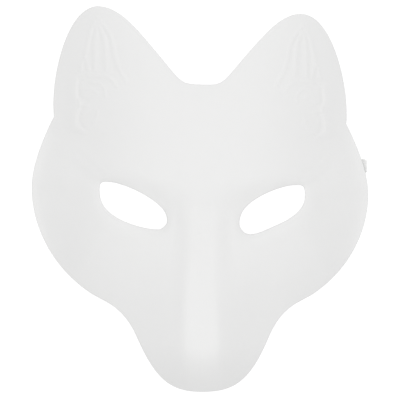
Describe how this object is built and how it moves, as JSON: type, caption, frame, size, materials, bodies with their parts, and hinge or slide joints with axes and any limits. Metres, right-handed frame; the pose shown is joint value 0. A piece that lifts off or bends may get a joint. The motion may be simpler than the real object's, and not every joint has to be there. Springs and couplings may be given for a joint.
{
  "type": "kitsune mask",
  "caption": "Blank white fox mask that covers the whole face: upright ears with moulded hair tufts, slanted open eyes, a long ridged muzzle and a slack head band.",
  "frame": {"origin": "on the surface that the rim rests on, under the middle of the shell's bounding box", "axes": "+Z out of the mask's face, +Y from the chin to the ears, +X to the viewer's right"},
  "size_m": [0.18, 0.2054, 0.0671],
  "materials": {
    "pulp": "unpainted white, matt and very slightly fibrous",
    "elastic": "flat woven white elastic"
  },
  "bodies": {
    "root": {"mask_shell": "pulp", "elastic_band": "elastic"}
  },
  "joints": []
}
